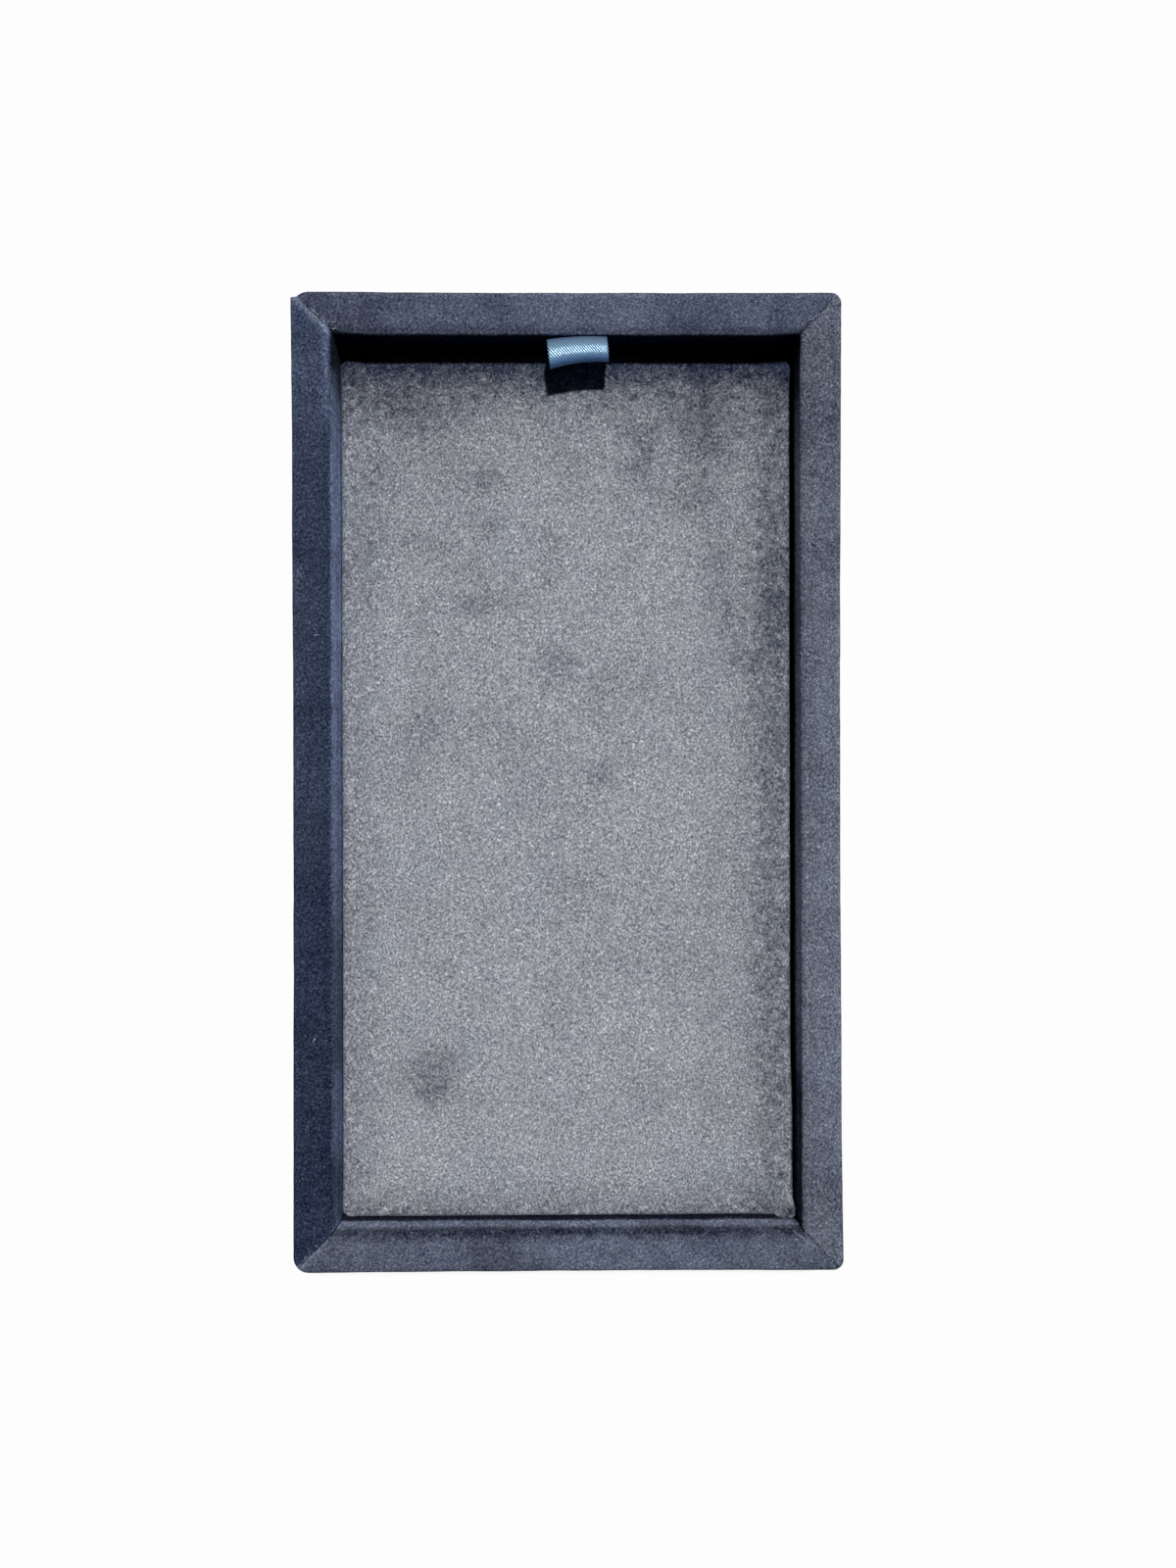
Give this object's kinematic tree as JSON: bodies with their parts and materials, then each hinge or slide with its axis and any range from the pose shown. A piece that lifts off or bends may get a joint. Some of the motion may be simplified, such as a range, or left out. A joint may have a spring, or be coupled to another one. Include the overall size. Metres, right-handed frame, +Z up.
{
  "type": "velvet display tray",
  "caption": "Rectangular velvet-covered display tray with mitred rails, a sunken padded insert that lifts out, and a satin ribbon pull loop.",
  "frame": {"origin": "middle of the underside, on the surface the tray rests on", "axes": "+Y along the tray towards the ribbon end, +X across it, +Z up"},
  "size_m": [0.09, 0.16, 0.0269],
  "materials": {
    "rail_velvet": "dark blue-grey velvet",
    "pad_velvet": "grey-blue velvet",
    "blue_satin": "glossy satin ribbon",
    "mdf_board": "raw fibreboard",
    "grey_card": "matt grey card",
    "pad_foam": "soft foam sheet",
    "brad_steel": "galvanised wire"
  },
  "bodies": {
    "tray": {"bottom_cover": "rail_velvet", "base_board": "mdf_board", "floor_lining": "grey_card", "rail_left_core": "mdf_board", "rail_right_core": "mdf_board", "rail_top_core": "mdf_board", "rail_bottom_core": "mdf_board", "rail_left_velvet": "rail_velvet", "rail_right_velvet": "rail_velvet", "rail_top_velvet": "rail_velvet", "rail_bottom_velvet": "rail_velvet", "corner_brad_top_left_1": "brad_steel", "corner_brad_top_left_2": "brad_steel", "corner_brad_top_right_1": "brad_steel", "corner_brad_top_right_2": "brad_steel", "corner_brad_bottom_left_1": "brad_steel", "corner_brad_bottom_left_2": "brad_steel", "corner_brad_bottom_right_1": "brad_steel", "corner_brad_bottom_right_2": "brad_steel", "base_brad_1": "brad_steel", "base_brad_2": "brad_steel", "base_brad_3": "brad_steel", "base_brad_4": "brad_steel", "base_brad_5": "brad_steel", "base_brad_6": "brad_steel", "base_brad_7": "brad_steel", "base_brad_8": "brad_steel"},
    "insert": {"insert_backing": "grey_card", "insert_board": "mdf_board", "insert_foam": "pad_foam", "insert_velvet": "pad_velvet", "ribbon_tail": "blue_satin"},
    "loop": {"ribbon_loop": "blue_satin"}
  },
  "joints": [
    {"name": "insert_lift", "type": "slide", "parent": "tray", "child": "insert", "axis": [0, 0, 1], "range_m": [0, 0.03]},
    {"name": "ribbon_fold", "type": "hinge", "parent": "insert", "child": "loop", "pos_m": [0.0018, 0.07245, 0.0143], "axis": [1, 0, 0], "range_deg": [0, 58], "stiffness_Nm_per_rad": 0.0002, "springref_deg": -2.86}
  ]
}
